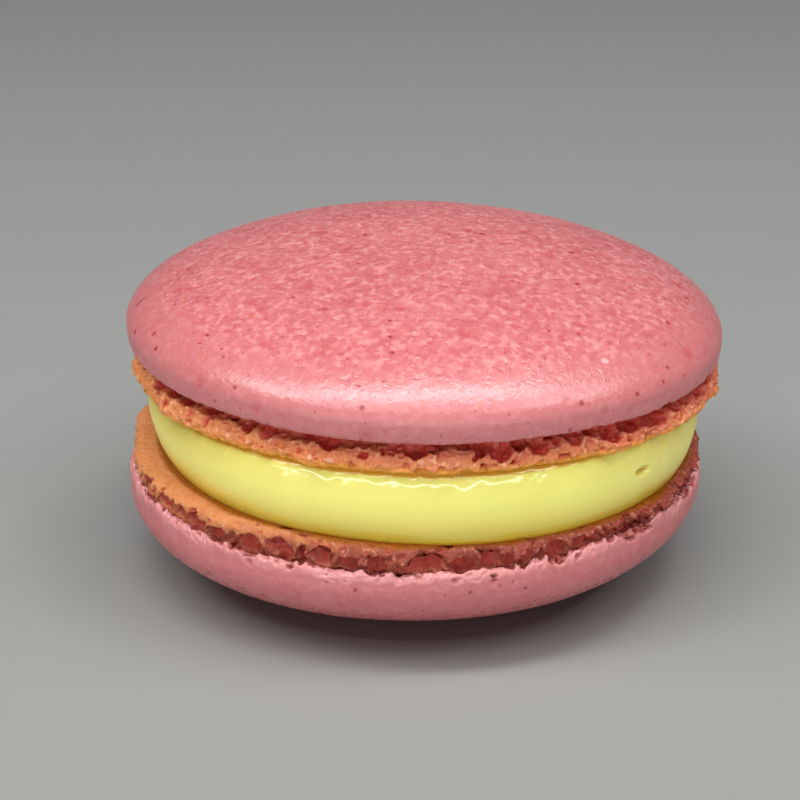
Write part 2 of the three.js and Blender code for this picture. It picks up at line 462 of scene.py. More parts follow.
def operator(operation: str, flipped: bool = False) -> Callable[["Value", "Value | float"], "Value"]:
    """Makes one of Value's operators.

    Args:
        operation: the Math node's operation.
        flipped: whether the other value comes first.

    Returns:
        The method behind the operator.
    """

    def apply(self: "Value", other: "Value | float") -> "Value":
        """Adds the Math node."""
        first, second = (other, self) if flipped else (self, other)
        return self.graph.node("ShaderNodeMath", {"operation": operation}, {0: first, 1: second})

    return apply


@dataclass(frozen=True, eq=False)
class Value:
    """A node's output, in its graph. Python's operators on it add Math nodes."""

    graph: "Graph"
    socket: bpy.types.NodeSocket

    __add__ = __radd__ = operator("ADD")
    __sub__ = operator("SUBTRACT")
    __rsub__ = operator("SUBTRACT", flipped=True)
    __mul__ = __rmul__ = operator("MULTIPLY")
    __pow__ = operator("POWER")
    __gt__ = operator("GREATER_THAN")


class Graph:
    """A material's node graph."""

    def __init__(self, name: str) -> None:
        """Starts a material with one Principled shader.

        Args:
            name: the material's name.
        """
        self.material = bpy.data.materials.new(name)
        self.material.use_nodes = True
        self.nodes = self.material.node_tree.nodes
        self.links = self.material.node_tree.links
        self.shader = self.nodes["Principled BSDF"]

    def node(self, kind: str, settings: dict, inputs: dict, output: int | str = 0) -> Value:
        """Adds a node.

        Args:
            kind: the node's type.
            settings: its own settings, which are set first.
            inputs: a value or a link for each socket, by name or number.
            output: which output comes back.

        Returns:
            That output.
        """
        made = self.nodes.new(kind)
        for key, setting in settings.items():
            setattr(made, key, setting)
        for key, value in inputs.items():
            self._feed(made.inputs[key], value)
        return Value(self, made.outputs[output])

    def _feed(self, socket: bpy.types.NodeSocket, value: "Value | float | tuple") -> None:
        """Feeds a socket.

        Args:
            socket: the input socket.
            value: an output to link to it, or what to set there.
        """
        if isinstance(value, Value):
            self.links.new(value.socket, socket)
        else:
            socket.default_value = value

    def place(self) -> Value:
        """Gives each point's place on the object, in millimetres."""
        here = self.node("ShaderNodeTexCoord", {}, {}, "Object")
        return self.node("ShaderNodeVectorMath", {"operation": "SCALE"}, {0: here, "Scale": 1 / MM})

    def painted(self, name: str, output: str = "Fac") -> Value:
        """Gives the number that the mesh stores at its points, or its three numbers as a "Vector"."""
        return self.node("ShaderNodeAttribute", {"attribute_name": name}, {}, output)

    def noise(self, place: Value, size: float, detail: float, turn: float) -> Value:
        """Adds a noise from 0 to 1: its size in millimetres, its finer layers, and which one it is."""
        inputs = {"Vector": place, "Scale": 1 / size, "Detail": detail, "W": turn}
        return self.node("ShaderNodeTexNoise", {"noise_dimensions": "4D"}, inputs)

    def patches(self, place: Value, grain: tuple[float, float, float], low: float, high: float) -> Value:
        """Adds soft-edged patches from a noise: 0 where it is at low, and 1 at high."""
        return self.smooth(self.noise(place, *grain), low, high)

    def ragged(self, name: str, place: Value, grain: tuple[float, float, float], much: float) -> Value:
        """Gives a number that the mesh stores, made uneven by a noise."""
        return self.painted(name) + much * (self.noise(place, *grain) - 0.5)

    def smooth(self, value: Value, low: float, high: float) -> Value:
        """Rises smoothly from 0 to 1.

        Args:
            value: what it follows.
            low: where it is 0.
            high: where it is 1; it falls if this is the smaller of the two.

        Returns:
            The smoothed value.
        """
        inputs = {"Value": value, "From Min": min(low, high), "From Max": max(low, high)}
        inputs["To Min"] = 0.0 if low < high else 1.0
        inputs["To Max"] = 1.0 - inputs["To Min"]
        return self.node("ShaderNodeMapRange", {"interpolation_type": "SMOOTHSTEP"}, inputs)

    def mix(self, share: Value, low: Value | Colour, high: Value | Colour) -> Value:
        """Mixes two colours: the first where share is 0, and the second where it is 1."""
        settings = {"data_type": "RGBA", "blend_type": "MIX", "clamp_factor": True}
        return self.node("ShaderNodeMix", settings, {0: share, 6: low, 7: high}, 2)

    def specks(self, flat: Value, spacing: float, radius: float, density: float, soft: float) -> Value:
        """Scatters small dots of uneven size.

        Args:
            flat: the surface's places laid out flat, in millimetres.
            spacing: how far apart dots could be.
            radius: of the largest.
            density: the share of places that have a dot.
            soft: how wide a dot's edge is, as a share of the largest radius.

        Returns:
            1 in the dots and 0 outside them.
        """
        settings = {"voronoi_dimensions": "2D"}
        inputs = {"Vector": flat, "Scale": 1 / spacing}
        distance = self.node("ShaderNodeTexVoronoi", settings, inputs, "Distance")
        chance = self.node("ShaderNodeTexVoronoi", settings, inputs, "Color")
        size = self.node("ShaderNodeSeparateColor", {}, {0: chance}, 0)
        kept = self.node("ShaderNodeSeparateColor", {}, {0: chance}, 1) > 1 - density
        reach = (size**3 * 0.75 + 0.25) * (radius / spacing)
        inside = self.smooth(distance - reach, soft * radius / spacing, -soft * radius / spacing)
        return inside * kept

    def spot(self, flat: Value, centre: tuple[float, float], size: tuple[float, float]) -> Value:
        """Makes one soft-edged oval spot, its length in line with the crown.

        Args:
            flat: the surface's places laid out flat, in millimetres.
            centre: the spot's middle there.
            size: half its length and half its width.

        Returns:
            1 inside it and 0 outside.
        """
        turn = (0, 0, math.atan2(centre[1], centre[0]))
        inputs = {"Vector": flat, "Location": (*centre, 0), "Rotation": turn, "Scale": (*size, 1)}
        inside = self.node("ShaderNodeMapping", {"vector_type": "TEXTURE"}, inputs)
        away = self.node("ShaderNodeVectorMath", {"operation": "LENGTH"}, {0: inside}, "Value")
        return self.smooth(away + 0.5 * self.noise(flat, 0.4, 1.0, centre[0]), 1.5, 0.85)

    def bump(self, height: Value, depth: float) -> Value:
        """Makes relief from a height between 0 and 1 that stands for depth millimetres."""
        inputs = {"Height": height, "Distance": depth * MM, "Strength": 1.0}
        return self.node("ShaderNodeBump", {}, inputs, "Normal")

    def finish(self, inputs: dict) -> bpy.types.Material:
        """Feeds the shader.

        Args:
            inputs: a value or a link for each of its sockets, by name.

        Returns:
            The finished material.
        """
        for key, value in inputs.items():
            self._feed(self.shader.inputs[key], value)
        return self.material


@dataclass(frozen=True)
class SkinFinish:
    """Smooth baked meringue skin: pink, finely mottled over the crown, with dark berry specks."""

    name: str
    pale: Colour
    deep: Colour
    rim: Colour
    speck: Colour = srgb(150, 14, 32)
    flake: Colour = srgb(240, 168, 166)
    amber: Colour = srgb(214, 112, 66)
    dent: Colour = srgb(184, 66, 74)
    torn: Colour = srgb(226, 150, 150)
    crumb: Colour = srgb(176, 84, 70)
    cave: Colour = srgb(132, 34, 28)
    roughness: float = 0.29

    def material(self, marks: list[tuple[Mark, tuple[float, float]]]) -> bpy.types.Material:
        """Builds the material.

        Args:
            marks: the marks on the skin, each with its place on the skin laid out flat.

        Returns:
            The skin's material.
        """
        graph = Graph(self.name)
        place = graph.place()
        flat = graph.painted("flat", "Vector")
        crown = graph.painted("crown")
        blobs = graph.noise(place, 1.0, 3.0, 1.0) * 0.5 + graph.noise(place, 0.42, 2.0, 2.0) * 0.5
        clouds = graph.noise(place, 6.0, 2.0, 3.0)
        dome = graph.mix(graph.smooth(blobs + 0.25 * (clouds - 0.5), 0.32, 0.7), self.deep, self.pale)
        colour = graph.mix(crown, self.rim, dome)
        colour = graph.mix(graph.patches(place, (2.6, 2.0, 4.0), 0.45, 0.75) * 0.35, colour, self.deep)
        flakes = graph.patches(place, (0.62, 3.0, 8.0), 0.46, 0.68) * (crown * 0.7 + 0.3)
        pores = graph.patches(place, (0.5, 2.0, 9.0), 0.55, 0.72) * (crown * 0.65 + 0.35)
        colour = graph.mix(flakes * 0.5, colour, self.flake)
        colour = graph.mix(pores * 0.5, colour, self.dent)
        dents = graph.specks(flat, 4.2, 0.55, 0.5, 0.7)
        colour = graph.mix(dents * 0.6, colour, self.dent)
        for spacing, radius, density, soft, tint, strength in (
            (6.0, 0.24, 0.3, 0.5, self.amber, 0.55),
            (2.4, 0.23, 0.5, 0.4, self.speck, 0.85),
            (1.15, 0.1, 0.3, 0.5, self.speck, 0.75),
        ):
            dots = graph.specks(flat, spacing, radius, density, soft)
            colour = graph.mix(dots * strength, colour, tint)
        for mark, centre in marks:
            colour = graph.mix(graph.spot(flat, centre, mark.size) * mark.strength, colour, mark.tint)
        torn = graph.painted("torn")
        colour = graph.mix(torn, colour, self.torn)
        # The hollows and the inside past the lip: the torn crumb's colour, partly painted shade.
        inside = graph.mix(graph.patches(place, (0.5, 2.0, 10.0), 0.42, 0.6), self.cave, self.crumb)
        colour = graph.mix(graph.painted("crumb"), colour, inside)
        fine = graph.noise(place, 0.5, 2.0, 5.0) * 0.6 + graph.noise(place, 0.16, 1.0, 6.0) * 0.3
        fine = fine + flakes * 0.25 - pores * 0.35 - dents * 0.7
        rough = self.roughness + 0.3 * (graph.noise(place, 0.7, 3.0, 7.0) - 0.5) - 0.1 * torn
        rough = rough + 0.2 * graph.painted("side")
        return graph.finish(
            {
                "Base Color": colour,
                "Roughness": rough,
                "Specular IOR Level": 0.85,
                "Subsurface Weight": 0.2,
                "Subsurface Radius": (0.9, 0.35, 0.3),
                "Subsurface Scale": 1.0 * MM,
                "Normal": graph.bump(fine, 0.065),
            }
        )


@dataclass(frozen=True)
class FootFinish:
    """Open baked crumb: pink inside, deep red in the bubbles, and browned where it lay on the sheet. The red
    deepens with the bubbles' depth and under the lip, partly as painted shade; the crests carry painted
    glints.
    """

    name: str
    crumb: Colour = srgb(200, 96, 74)
    crust: Colour = srgb(222, 136, 80)
    scorched: Colour = srgb(172, 92, 42)
    cave: Colour = srgb(196, 58, 44)
    stain_and_shade: Colour = srgb(242, 166, 48)
    painted_glint: Colour = srgb(246, 192, 158)
    sheen: float = 0.5

    def material(self) -> bpy.types.Material:
        """Builds the material.

        Returns:
            The foot's material.
        """
        graph = Graph(self.name)
        place = graph.place()
        # Browned crust by the base and on the left; the darker, pinker crumb higher up towards the lip is
        # partly painted shade.
        toast_and_shade = graph.smooth(graph.ragged("toast_and_shade", place, (1.3, 3.0, 11.0), 0.7), 0.25, 0.75)
        colour = graph.mix(toast_and_shade, self.crumb, self.crust)
        burnt = graph.patches(place, (0.6, 3.0, 12.0), 0.55, 0.7) * toast_and_shade
        colour = graph.mix(burnt * 0.6, colour, self.scorched)
        # Painted glints: a pale colour on the crests, standing for highlights.
        glint_patches = graph.patches(place, (0.5, 2.0, 15.0), 0.52, 0.7) * graph.painted("crest")
        colour = graph.mix(glint_patches * 0.6, colour, self.painted_glint)
        # Amber where the filling has soaked into the crust; on the lower foot, a dark line by the filling
        # that is partly stain and partly painted shade.
        soak_and_shade = graph.ragged("stain_and_shade", place, (0.8, 2.0, 17.0), 0.5)
        colour = graph.mix(graph.smooth(soak_and_shade, 0.1, 0.9) * 0.92, colour, self.stain_and_shade)
        # The bubbles' deep red, stronger where they are deeper and in the band under the lip: partly the
        # crumb's own colour, partly painted shade.
        pale = graph.patches(place, (0.7, 3.0, 16.0), 0.45, 0.7)
        inside = graph.mix(pale * 0.6, self.cave, self.crumb)
        colour = graph.mix(graph.painted("cave"), colour, inside)
        fine = graph.noise(place, 0.2, 3.0, 13.0)
        glints = graph.patches(place, (0.4, 1.0, 14.0), 0.52, 0.64)
        return graph.finish(
            {
                "Base Color": colour,
                "Roughness": 0.6 - 0.42 * glints,
                "Specular IOR Level": self.sheen,
                "Subsurface Weight": 0.25,
                "Subsurface Radius": (1.0, 0.4, 0.25),
                "Subsurface Scale": 0.6 * MM,
                "Normal": graph.bump(fine, 0.08),
            }
        )


@dataclass(frozen=True)
class FillingFinish:
    """Smooth pale yellow cream with a moist sheen. It is amber where it touches the crust, partly a stain
    and partly painted shade, and has painted shade at its bottom, in its pocket and under the crust.
    """

    name: str
    cream: Colour = srgb(255, 245, 136)
    deep: Colour = srgb(252, 236, 112)
    shade: Colour = srgb(202, 176, 18)
    amber: Colour = srgb(212, 152, 34)

    def material(self) -> bpy.types.Material:
        """Builds the material.

        Returns:
            The filling's material.
        """
        graph = Graph(self.name)
        place = graph.place()
        colour = graph.mix(graph.noise(place, 6.0, 2.0, 21.0) * 0.6, self.cream, self.deep)
        colour = graph.mix(graph.painted("shade") * 0.75, colour, self.shade)
        # Amber at the top and bottom edges where the cream touches the crust: partly a stain, partly painted
        # shade in the joint.
        soak_and_shade = graph.ragged("stain_and_shade", place, (0.8, 2.0, 24.0), 0.5)
        colour = graph.mix(graph.smooth(soak_and_shade, 0.3, 0.9) * 0.85, colour, self.amber)
        rough = 0.1 + 0.12 * graph.noise(place, 1.6, 3.0, 22.0) + 0.25 * graph.painted("dull")
        fine = graph.noise(place, 0.6, 2.0, 23.0)
        return graph.finish(
            {
                "Base Color": colour,
                "Roughness": rough,
                "Specular IOR Level": 1.0,
                "Subsurface Weight": 0.5,
                "Subsurface Radius": (1.0, 0.8, 0.25),
                "Subsurface Scale": 1.2 * MM,
                "Normal": graph.bump(fine, 0.02),
            }
        )


@dataclass(frozen=True)
class FloorFinish:
    """A plain pale matt floor."""

    name: str = "pale_floor"
    tint: Colour = srgb(142, 143, 141)

    def material(self) -> bpy.types.Material:
        """Builds the floor's material."""
        inputs = {"Base Color": self.tint, "Roughness": 0.65, "Specular IOR Level": 0.3}
        return Graph(self.name).finish(inputs)


# ---------------------------------------------------------------- the baked shells


class Side(Enum):
    """Which of the two shells it is, and so which way up it lies."""

    UPPER = "upper"
    LOWER = "lower"


@dataclass
class Shell:
    """One baked shell: a domed skin that curls under at its lip, and the open foot below it."""

    side: Side
    node: str
    base_height: float  # of its flat base, above the table
    shift_x: float
    skin_radius: float
    widest_height: float  # where the skin is widest, above the base
    dome_rise: float  # from there to the crown
    dome_edge: float  # how steep the dome's edge is, as a power
    dome_crown: float  # how flat its crown is, as a power
    foot_height: float
    lip_waves: tuple[Wave, ...]  # the skin tore off lower or higher round the lip
    lip_radius: float
    flange_radius: float
    waist_radius: float
    base_lean: float  # degrees about +Y
    skin_lean: float  # degrees about +Y, against the base
    outline: tuple[Wave, ...]
    foot_outline: tuple[Wave, ...]
    swell: float  # how much fuller the dome is on one side
    swell_toward: float  # degrees
    seed: int  # of its bubbles and its noise
    skin_finish: SkinFinish
    foot_finish: FootFinish
    marks: tuple[Mark, ...]
    nicks: tuple[Bubble, ...] = ()  # small holes in the skin
    torn: float = 0.0  # how ragged the lip is, in millimetres
    calming: float = 0.3  # how much smoother the foot is on the left
    toasting: float = 0.75  # how brown the foot is by its base
    toasting_left: float = 0.35  # and how much browner on the left
    spreading: float = 0.0  # how much further the brown reaches towards the lip on the left
    undercut: float = 0.45  # how far the foot steps back just under the lip; it stands out if negative
    undercut_height: float = 0.85
    wicking: float = 0.8  # how much the filling has stained the rim of the base
    deepest: float = 1.8  # of the bubbles
    crumbling: float = 0.16  # how uneven they are inside
    closing: float = 0.0  # how much shallower they are by the lip
    seat: float = 22.1  # the radius where the filling ends on the base
    seat_outline: tuple[Wave, ...] = ()
    lip_thickness: float = 0.45
    lip_tuck: float = 0.9  # how far the skin is curled in under the lip
    joint_depth: float = 0.8  # how far the foot reaches up inside the skin
    base_shown: float = 2.4  # how much of the flat base shows beyond the filling
    columns: int = 1440  # points round the fullest ring of a mesh
    ruffles: tuple[Wave, ...] = (
        Wave(7, 0.12, 0.8),
        Wave(12, 0.1, 2.9),
        Wave(19, 0.09, 5.1),
        Wave(31, 0.06, 1.7),
    )
    large_bubbles: int = 46
    holes: Pits = Pits(360, 0.16, 0.42, 1.3, 0.05)
    foam: Pits = Pits(1300, 0.12, 0.34, 1.3, 0.5)
    lip_foam: Pits = Pits(260, 0.08, 0.18, 2.0, 0.3)

    def __post_init__(self) -> None:
        """Starts the shell's own noise and works out its bubbles."""
        self.noise = Noise(self.seed)
        self.caves = self._large()
        self.caves += self._between(self.caves)

    # ---- where things are

    def outward(self, angle: np.ndarray) -> np.ndarray:
        """How far the foot's side is out, against the round profile."""
        return wave_sum(self.outline, angle) + wave_sum(self.foot_outline, angle)

    def leaning(self, angle: np.ndarray, radius: np.ndarray) -> np.ndarray:
        """How much higher the skin is at a place, as it leans against the base."""
        return -math.tan(math.radians(self.skin_lean)) * radius * np.cos(angle)

    def foot_stretch(self, angle: np.ndarray, radius: np.ndarray) -> np.ndarray:
        """The foot's height at a place as a share of its average height."""
        torn = (radius / self.lip_radius) ** 2 * wave_sum(self.lip_waves, angle)
        return 1 + (self.leaning(angle, radius) + torn) / self.foot_height

    def calm(self, angle: np.ndarray) -> np.ndarray:
        """How smooth and browned the foot is, from 0 to 1: it is calmest on the left."""
        toward = math.radians(170 if self.side is Side.UPPER else -170)
        return 0.5 + 0.5 * np.cos(angle - toward)

    def lip_at(self, angle: float) -> float:
        """The lip's height at an angle."""
        return float(self.foot_height * self.foot_stretch(angle, self.waist_radius))

    def placed(self, points: np.ndarray) -> np.ndarray:
        """Puts points of the shell's own frame in their place in the row's frame.

        Args:
            points: the points, one row each.

        Returns:
            The same points in the row's frame.
        """
        x, y, z = points.T
        if self.side is Side.LOWER:
            y, z = -y, -z
        lean = math.radians(self.base_lean)
        across = x * math.cos(lean) + z * math.sin(lean) + self.shift_x
        up = z * math.cos(lean) - x * math.sin(lean) + self.base_height
        return np.stack([across, y, np.maximum(up, 0)], axis=1)

    # ---- bubbles

    def _large(self) -> list[Bubble]:
        """Works out the large bubbles just under the lip, as in the solid.

        Returns:
            The bubbles, in order round the foot.
        """
        draw = Draw(self.seed)
        made = []
        for i in range(self.large_bubbles):
            angle = (i + 0.9 * (draw() - 0.5)) / self.large_bubbles * FULL_TURN
            radius = draw.between(0.42, 0.98)
            widening = draw.between(1.05, 1.65)
            height = max(self.lip_at(angle) - radius * draw.between(0.55, 1.45), 0.3 + radius)
            out = self.waist_radius + float(self.outward(angle)) + draw.between(0.1, 0.55)
            made.append(Bubble(angle, out, height, (1.15 * radius, widening * radius, radius)))
        return made

    def _between(self, large: list[Bubble]) -> list[Bubble]:
        """Fills the gaps between large bubbles with narrower ones, so that only thin walls are left.

        Args:
            large: the large bubbles, in order round the foot.

        Returns:
            The narrower bubbles.
        """
        rng = np.random.default_rng(self.seed + 1)
        narrowest, widest = 0.3, 2.6
        made = []
        for one, next_one in zip(large, large[1:] + large[:1]):
            start = one.angle + one.radii[1] / self.waist_radius
            turn = (next_one.angle - one.angle) % FULL_TURN
            free = turn * self.waist_radius - one.radii[1] - next_one.radii[1]
            count = math.ceil(free / widest) if free > narrowest else 0
            for i in range(count):
                room = free / count
                angle = start + (i + 0.5) * room / self.waist_radius
                wide = 0.5 * room + rng.uniform(-0.1, 0.15)
                tall = min(rng.uniform(0.5, 0.95), 0.45 * self.lip_at(angle))
                height = self.lip_at(angle) + rng.uniform(0.0, 0.35) - tall
                out = self.waist_radius + float(self.outward(angle)) + rng.uniform(0.0, 0.35)
                made.append(Bubble(angle, out, height, (rng.uniform(0.75, 1.15), wide, tall)))
        return made

    def carved(
        self, points: np.ndarray, normals: np.ndarray, depth: np.ndarray, bubbles: list[Bubble]
    ) -> np.ndarray:
        """Works out how deep each point of a surface lies once bubbles are open in it.

        Args:
            points: the surface's points.
            normals: their outward directions.
            depth: how deep each lies before.
            bubbles: what to open.

        Returns:
            The new depth of each point.
        """
        warped = points + 0.22 * self.noise.vector(points, 0.9) + 0.08 * self.noise.vector(points, 0.3)
        angle = np.arctan2(warped[:, 1], warped[:, 0])
        order = np.argsort(angle)
        in_turn = np.concatenate([angle[order] - FULL_TURN, angle[order], angle[order] + FULL_TURN])
        order = np.tile(order, 3)
        depth = depth.copy()
        for bubble in bubbles:
            toward = math.remainder(bubble.angle, FULL_TURN)
            span = bubble.reach / bubble.out
            first, last = np.searchsorted(in_turn, [toward - span, toward + span])
            near = order[first:last]
            part = depth[near]
            bubble.carve(warped[near], -normals[near], part)
            depth[near] = part
        return depth

    def pitted(
        self, points: np.ndarray, normals: np.ndarray, depth: np.ndarray, where: np.ndarray, pits: Pits
    ) -> np.ndarray:
        """Opens many small pits at random places of a surface.

        Args:
            points: the surface's points.
            normals: their outward directions.
            depth: how deep each lies before.
            where: how likely a pit is at each.
            pits: how many there are and their sizes.

        Returns:
            The new depth of each point.
        """
        rng = np.random.default_rng(self.seed + pits.count)
        chosen = rng.choice(len(points), pits.count, p=where / where.sum())
        made = []
        for i in chosen:
            radius = pits.least + (pits.most - pits.least) * rng.random() ** pits.rarity
            lift = (pits.lift + rng.uniform(-0.35, 0.35)) * radius
            centre = points[i] + (lift - depth[i]) * normals[i]
            made.append(Bubble.around(centre, (radius, radius * rng.uniform(0.9, 1.5), radius)))
        return self.carved(points, normals, depth, made)

    # ---- the skin

    def _skin_profile(self) -> tuple[np.ndarray, np.ndarray, float]:
        """Works out the skin's profile, from the axis under it, round the lip, to the crown.

        Returns:
            The profile's points, the spacing that each ring's points should have, and how far along
            the profile the lip's edge is.
        """
        step = 0.1
        under = self.foot_height + self.lip_thickness
        tucked = self.lip_radius - self.lip_tuck
        lip = [
            (tucked, under),
            (self.lip_radius - self.lip_thickness, self.foot_height),
            (self.lip_radius - self.lip_thickness / 4, self.foot_height),
            (self.lip_radius + self.lip_thickness / 4, under),
            (lerp(self.lip_radius, self.skin_radius, 0.5) + 0.12, lerp(under, self.widest_height, 0.5)),
            (self.skin_radius, self.widest_height),
        ]
        radius = self.skin_radius * np.cos(np.linspace(0, 1, 400) ** 2 * math.pi / 2)
        share = radius / self.skin_radius
        rise = self.dome_rise * np.maximum(0, 1 - share**self.dome_edge) ** (1 / self.dome_crown)
        dome = np.stack([radius, self.widest_height + rise], axis=1)
        outside = evenly(np.concatenate([curve_through(lip, step), dome[1:]]), step)
        outside = rounded(outside, step, reach=0.8, crisp=1.2, easing=1.0)
        outside[:, 0] *= self.skin_radius / outside[:, 0].max()
        outside[-1, 0] = 0

        rim_start, dome_start = 21, 55
        last = len(outside) - 1
        rows = np.array(
            [*range(rim_start), *range(rim_start, dome_start, 2), *range(dome_start, last - 1, 3), last]
        )
        wanted = np.select([rows < rim_start, rows < dome_start], [0.12, 0.24], 0.36)
        inside = flat_rows(0, tucked, under, 12)[:-1]
        profile, spacing = joined((inside, HIDDEN), (outside[rows], wanted))
        edge = np.argmin(np.linalg.norm(profile - lip[2], axis=1))
        return profile, spacing, float(lengths(profile)[edge])

    def skin(self) -> bpy.types.Object:
        """Builds and dresses the skin.

        Returns:
            The skin's piece.
        """
        at = self.noise.at
        profile, spacing, lip_along = self._skin_profile()
        surface = Turned(profile, spacing, self.columns)
        under = surface.along < lip_along - self.lip_tuck
        share = surface.radius / self.skin_radius
        above = np.maximum(0, surface.height - self.widest_height) / self.dome_rise
        ring = np.exp(-(((share - 0.5) / 0.35) ** 2))
        swell = self.swell * above * ring * np.cos(surface.angle - math.radians(self.swell_toward))
        by_lip = smooth(surface.height, self.widest_height, self.foot_height + self.lip_thickness)
        by_lip *= surface.radius > self.lip_radius - 2 * self.lip_tuck
        rim = self.lip_radius * surface.round
        teeth = 0.3 - np.abs(at(rim, 1.1))
        jags = 0.5 * at(rim, 2.3) + 0.2 * at(rim, 0.7) - 0.9 * teeth
        tear = wave_sum(self.lip_waves, surface.angle) + self.torn * jags
        points = surface.points + (share * wave_sum(self.outline, surface.angle))[:, None] * surface.round
        points[:, 2] += swell + self.leaning(surface.angle, surface.radius) + by_lip * tear

        # Each term of the relief is a height times a noise of some size, both in millimetres.
        crown = smooth(share, 0.95, 0.82) * (surface.height > self.widest_height)
        relief = 0.05 * at(points, 9) + 0.02 * at(points, 3.2)
        relief += crown * (0.01 * at(points, 1.3) + 0.008 * at(points, 0.7))
        near_lip = np.exp(-(((surface.along - lip_along) / 0.65) ** 2))
        rags = 0.35 * np.abs(at(points, 1.1)) + 0.3 * np.abs(at(points, 0.45))
        relief += self.torn * near_lip * (0.2 - rags)
        beyond = surface.along - lip_along
        granular = smooth(beyond, 1.4, 0.3) * (beyond > -0.2) * smooth(at(rim, 2.6), -0.35, 0.35)
        relief += self.torn * granular * 0.35 * (0.3 - np.abs(at(points, 0.45)))
        relief[under] = 0

        depth = -relief
        part = np.flatnonzero((surface.along < lip_along + 2.2) & ~under)
        own, outwards = points[part], surface.normals[part]
        opened = self.carved(own, outwards, depth[part], [*self.caves, *self.nicks])
        opened = self.pitted(own, outwards, opened, near_lip[part] ** 2, self.lip_foam)
        limit = min(0.8, 0.75 * self.deepest) + 0.25 * at(own, 0.6)
        depth[part] = np.minimum(opened, limit)
        points = points - depth[:, None] * surface.normals

        from_crown = surface.along.max() - surface.along
        # The hollows and the skin's inside past the lip get a dark crumb colour: partly the torn crumb,
        # partly painted shade.
        hollow = smooth(depth + relief, 0.1, 0.4)
        painted = {
            "flat": from_crown[:, None] * surface.round,
            "crown": crown,
            "side": smooth(surface.lean_up, 0.62, 0.3),
            "torn": np.clip(self.torn * (near_lip + 0.8 * granular) * 1.5, 0, 0.75) * (1 - hollow),
            "crumb": np.maximum(hollow, smooth(beyond, -0.1, -0.5)),
        }
        marks = [(mark, self._laid_flat(mark, profile)) for mark in self.marks]
        return self._dressed("skin", surface, points, painted, self.skin_finish.material(marks))

    @staticmethod
    def _laid_flat(mark: Mark, profile: np.ndarray) -> tuple[float, float]:
        """Finds where a mark is on the skin laid out flat round its crown.

        Args:
            mark: the mark.
            profile: the skin's profile.

        Returns:
            The two numbers of its place there.
        """
        nearest = int(np.argmin(np.linalg.norm(profile - [mark.radius, mark.height], axis=1)))
        away = float(lengths(profile[nearest:])[-1])
        angle = math.radians(mark.angle)
        return away * math.cos(angle), away * math.sin(angle)

    # ---- the foot

    def _foot_profile(self) -> tuple[np.ndarray, np.ndarray]:
        """Works out the foot's profile, from the middle of the base, round the side, to its top.

        Returns:
            The profile's points, and the spacing that each ring's points should have.
        """
        flange = self.flange_radius
        side = [
            (flange - 0.75, 0.0),
            (flange - 0.15, 0.28),
            (flange, 0.75),
            (lerp(flange, self.waist_radius, 0.3), 1.3),
            (self.waist_radius, self.foot_height - self.lip_thickness),
            (self.waist_radius - self.lip_thickness / 2, self.foot_height + self.joint_depth),
        ]
        shown = flange - self.base_shown
        brim = np.outer(np.arange(shown + 0.12, flange - 0.8, 0.12), [1, 0])
        closing = flat_rows(self.waist_radius - 0.6, 0, self.foot_height + self.joint_depth, 12)
        return joined(
            (flat_rows(0, shown, 0, 12), HIDDEN),
            (brim, 0.2),
            (curve_through(side, 0.085), 0.11),
            (closing, HIDDEN),
        )

    def foot(self) -> bpy.types.Object:
        """Builds and dresses the foot.

        Returns:
            The foot's piece.
        """
        at = self.noise.at
        profile, spacing = self._foot_profile()
        surface = Turned(profile, spacing, self.columns)
        seen = surface.radius > self.flange_radius - self.base_shown
        side = smooth(surface.radius, self.waist_radius - self.lip_tuck, self.waist_radius)
        open_part = surface.height < self.foot_height
        ruffle = wave_sum(self.ruffles, surface.angle + self.seed)
        shift = side * (self.outward(surface.angle) + open_part * ruffle)
        points = surface.points + shift[:, None] * surface.round
        points[:, 2] *= self.foot_stretch(surface.angle, surface.radius)

        # Each term of the relief is a height times a noise of some size, both in millimetres.
        calm = self.calm(surface.angle)
        lumps = at(points, 1.8)
        crumbs = 0.3 - np.abs(at(points, 0.8))
        grains = 0.3 - np.abs(at(points, 0.36))
        on_base = smooth(surface.height, 0.35, 0.0)
        relief = seen * (1 - 0.6 * on_base) * (0.15 * lumps + 0.34 * crumbs + 0.24 * grains)
        relief *= 1 - 0.7 * self.calming * calm
        band = self.undercut_height * (1 + 0.6 * at(self.waist_radius * surface.round, 1.5))
        undercut = seen * self.undercut * smooth(self.foot_height - surface.height, band + 0.2, band - 0.2)
        depth = undercut - relief
        part = np.flatnonzero(seen)
        own, outwards = points[part], surface.normals[part]
        opened = self.carved(own, outwards, depth[part], self.caves)
        by_base = smooth(surface.height[part], 1.6, 0.8)
        rough = (1 - 0.75 * on_base[part]) * (1 - self.calming * calm[part] * by_base)
        for pits in (self.holes, self.foam):
            opened = self.pitted(own, outwards, opened, rough, pits)
        crumbly = smooth(opened - depth[part], 0.1, 0.5) * self.crumbling * at(own, 0.5)
        by_lip = smooth(surface.height[part], self.foot_height - 0.9, self.foot_height - 0.1)
        limit = self.deepest * (1 - self.closing * by_lip)
        depth[part] = limit * np.tanh(opened / limit) + crumbly
        points = points - depth[:, None] * surface.normals

        rise = surface.height / self.foot_height
